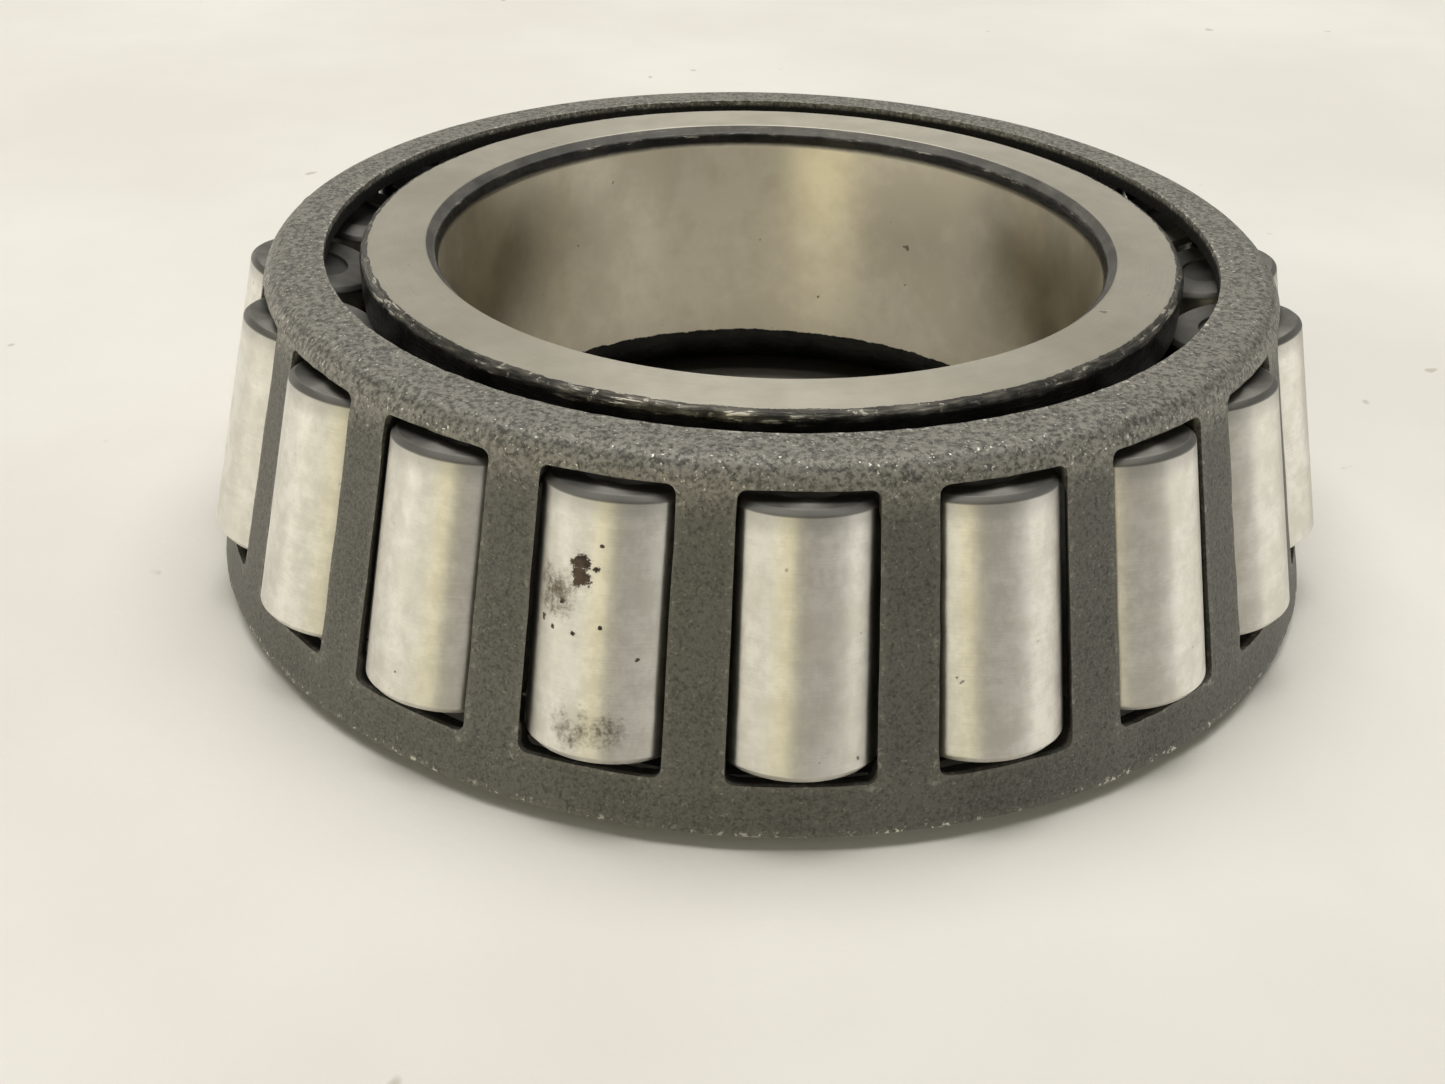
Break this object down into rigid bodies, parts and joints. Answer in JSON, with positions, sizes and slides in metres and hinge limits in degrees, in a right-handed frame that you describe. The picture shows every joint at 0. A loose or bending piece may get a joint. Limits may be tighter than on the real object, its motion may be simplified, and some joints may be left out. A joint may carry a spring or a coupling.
{
  "type": "tapered roller bearing cone assembly",
  "caption": "Inner ring with a tapered raceway, carrying tapered rollers in a pressed steel cage; seats on a shaft and runs inside a separate cup.",
  "frame": {"origin": "bearing axis at the back face, where the large rib stands", "axes": "+Z along the bearing axis, from the back face to the front face, so the rollers taper towards +Z; one roller lies at -Y"},
  "size_m": [0.1314, 0.1314, 0.0361],
  "materials": {
    "ring_steel": "hardened bearing steel, finely ground faces and bore, dark unground corners",
    "roller_steel": "hardened bearing steel, satin ground",
    "cage_steel": "pressed low carbon steel, dark and matt, lightly blasted"
  },
  "bodies": {
    "inner_ring": {"inner_ring": "ring_steel"},
    "cage": {"cage": "cage_steel"},
    "roller_01": {"roller_01": "roller_steel"},
    "roller_02": {"roller_02": "roller_steel"},
    "roller_03": {"roller_03": "roller_steel"},
    "roller_04": {"roller_04": "roller_steel"},
    "roller_05": {"roller_05": "roller_steel"},
    "roller_06": {"roller_06": "roller_steel"},
    "roller_07": {"roller_07": "roller_steel"},
    "roller_08": {"roller_08": "roller_steel"},
    "roller_09": {"roller_09": "roller_steel"},
    "roller_10": {"roller_10": "roller_steel"},
    "roller_11": {"roller_11": "roller_steel"},
    "roller_12": {"roller_12": "roller_steel"},
    "roller_13": {"roller_13": "roller_steel"},
    "roller_14": {"roller_14": "roller_steel"},
    "roller_15": {"roller_15": "roller_steel"},
    "roller_16": {"roller_16": "roller_steel"},
    "roller_17": {"roller_17": "roller_steel"},
    "roller_18": {"roller_18": "roller_steel"},
    "roller_19": {"roller_19": "roller_steel"},
    "roller_20": {"roller_20": "roller_steel"}
  },
  "joints": [
    {"name": "cage_spin", "type": "hinge", "parent": "inner_ring", "child": "cage", "pos_m": [0, 0, 0], "axis": [0, 0, 1], "continuous": true},
    {"name": "roller_01_spin", "type": "hinge", "parent": "cage", "child": "roller_01", "pos_m": [0, -0.05526, 0.01928], "axis": [0, 0.2165, 0.9763], "continuous": true},
    {"name": "roller_02_spin", "type": "hinge", "parent": "cage", "child": "roller_02", "pos_m": [0.01708, -0.05256, 0.01928], "axis": [-0.0669, 0.2059, 0.9763], "continuous": true},
    {"name": "roller_03_spin", "type": "hinge", "parent": "cage", "child": "roller_03", "pos_m": [0.03248, -0.04471, 0.01928], "axis": [-0.1272, 0.1751, 0.9763], "continuous": true},
    {"name": "roller_04_spin", "type": "hinge", "parent": "cage", "child": "roller_04", "pos_m": [0.04471, -0.03248, 0.01928], "axis": [-0.1751, 0.1272, 0.9763], "continuous": true},
    {"name": "roller_05_spin", "type": "hinge", "parent": "cage", "child": "roller_05", "pos_m": [0.05256, -0.01708, 0.01928], "axis": [-0.2059, 0.0669, 0.9763], "continuous": true},
    {"name": "roller_06_spin", "type": "hinge", "parent": "cage", "child": "roller_06", "pos_m": [0.05526, 0, 0.01928], "axis": [-0.2165, 0, 0.9763], "continuous": true},
    {"name": "roller_07_spin", "type": "hinge", "parent": "cage", "child": "roller_07", "pos_m": [0.05256, 0.01708, 0.01928], "axis": [-0.2059, -0.0669, 0.9763], "continuous": true},
    {"name": "roller_08_spin", "type": "hinge", "parent": "cage", "child": "roller_08", "pos_m": [0.04471, 0.03248, 0.01928], "axis": [-0.1751, -0.1272, 0.9763], "continuous": true},
    {"name": "roller_09_spin", "type": "hinge", "parent": "cage", "child": "roller_09", "pos_m": [0.03248, 0.04471, 0.01928], "axis": [-0.1272, -0.1751, 0.9763], "continuous": true},
    {"name": "roller_10_spin", "type": "hinge", "parent": "cage", "child": "roller_10", "pos_m": [0.01708, 0.05256, 0.01928], "axis": [-0.0669, -0.2059, 0.9763], "continuous": true},
    {"name": "roller_11_spin", "type": "hinge", "parent": "cage", "child": "roller_11", "pos_m": [0, 0.05526, 0.01928], "axis": [0, -0.2165, 0.9763], "continuous": true},
    {"name": "roller_12_spin", "type": "hinge", "parent": "cage", "child": "roller_12", "pos_m": [-0.01708, 0.05256, 0.01928], "axis": [0.0669, -0.2059, 0.9763], "continuous": true},
    {"name": "roller_13_spin", "type": "hinge", "parent": "cage", "child": "roller_13", "pos_m": [-0.03248, 0.04471, 0.01928], "axis": [0.1272, -0.1751, 0.9763], "continuous": true},
    {"name": "roller_14_spin", "type": "hinge", "parent": "cage", "child": "roller_14", "pos_m": [-0.04471, 0.03248, 0.01928], "axis": [0.1751, -0.1272, 0.9763], "continuous": true},
    {"name": "roller_15_spin", "type": "hinge", "parent": "cage", "child": "roller_15", "pos_m": [-0.05256, 0.01708, 0.01928], "axis": [0.2059, -0.0669, 0.9763], "continuous": true},
    {"name": "roller_16_spin", "type": "hinge", "parent": "cage", "child": "roller_16", "pos_m": [-0.05526, 0, 0.01928], "axis": [0.2165, 0, 0.9763], "continuous": true},
    {"name": "roller_17_spin", "type": "hinge", "parent": "cage", "child": "roller_17", "pos_m": [-0.05256, -0.01708, 0.01928], "axis": [0.2059, 0.0669, 0.9763], "continuous": true},
    {"name": "roller_18_spin", "type": "hinge", "parent": "cage", "child": "roller_18", "pos_m": [-0.04471, -0.03248, 0.01928], "axis": [0.1751, 0.1272, 0.9763], "continuous": true},
    {"name": "roller_19_spin", "type": "hinge", "parent": "cage", "child": "roller_19", "pos_m": [-0.03248, -0.04471, 0.01928], "axis": [0.1272, 0.1751, 0.9763], "continuous": true},
    {"name": "roller_20_spin", "type": "hinge", "parent": "cage", "child": "roller_20", "pos_m": [-0.01708, -0.05256, 0.01928], "axis": [0.0669, 0.2059, 0.9763], "continuous": true}
  ],
  "couplings": [
    {"joint": "roller_01_spin", "follows": "cage_spin", "ratio": 6.3262},
    {"joint": "roller_02_spin", "follows": "cage_spin", "ratio": 6.3262},
    {"joint": "roller_03_spin", "follows": "cage_spin", "ratio": 6.3262},
    {"joint": "roller_04_spin", "follows": "cage_spin", "ratio": 6.3262},
    {"joint": "roller_05_spin", "follows": "cage_spin", "ratio": 6.3262},
    {"joint": "roller_06_spin", "follows": "cage_spin", "ratio": 6.3262},
    {"joint": "roller_07_spin", "follows": "cage_spin", "ratio": 6.3262},
    {"joint": "roller_08_spin", "follows": "cage_spin", "ratio": 6.3262},
    {"joint": "roller_09_spin", "follows": "cage_spin", "ratio": 6.3262},
    {"joint": "roller_10_spin", "follows": "cage_spin", "ratio": 6.3262},
    {"joint": "roller_11_spin", "follows": "cage_spin", "ratio": 6.3262},
    {"joint": "roller_12_spin", "follows": "cage_spin", "ratio": 6.3262},
    {"joint": "roller_13_spin", "follows": "cage_spin", "ratio": 6.3262},
    {"joint": "roller_14_spin", "follows": "cage_spin", "ratio": 6.3262},
    {"joint": "roller_15_spin", "follows": "cage_spin", "ratio": 6.3262},
    {"joint": "roller_16_spin", "follows": "cage_spin", "ratio": 6.3262},
    {"joint": "roller_17_spin", "follows": "cage_spin", "ratio": 6.3262},
    {"joint": "roller_18_spin", "follows": "cage_spin", "ratio": 6.3262},
    {"joint": "roller_19_spin", "follows": "cage_spin", "ratio": 6.3262},
    {"joint": "roller_20_spin", "follows": "cage_spin", "ratio": 6.3262}
  ]
}
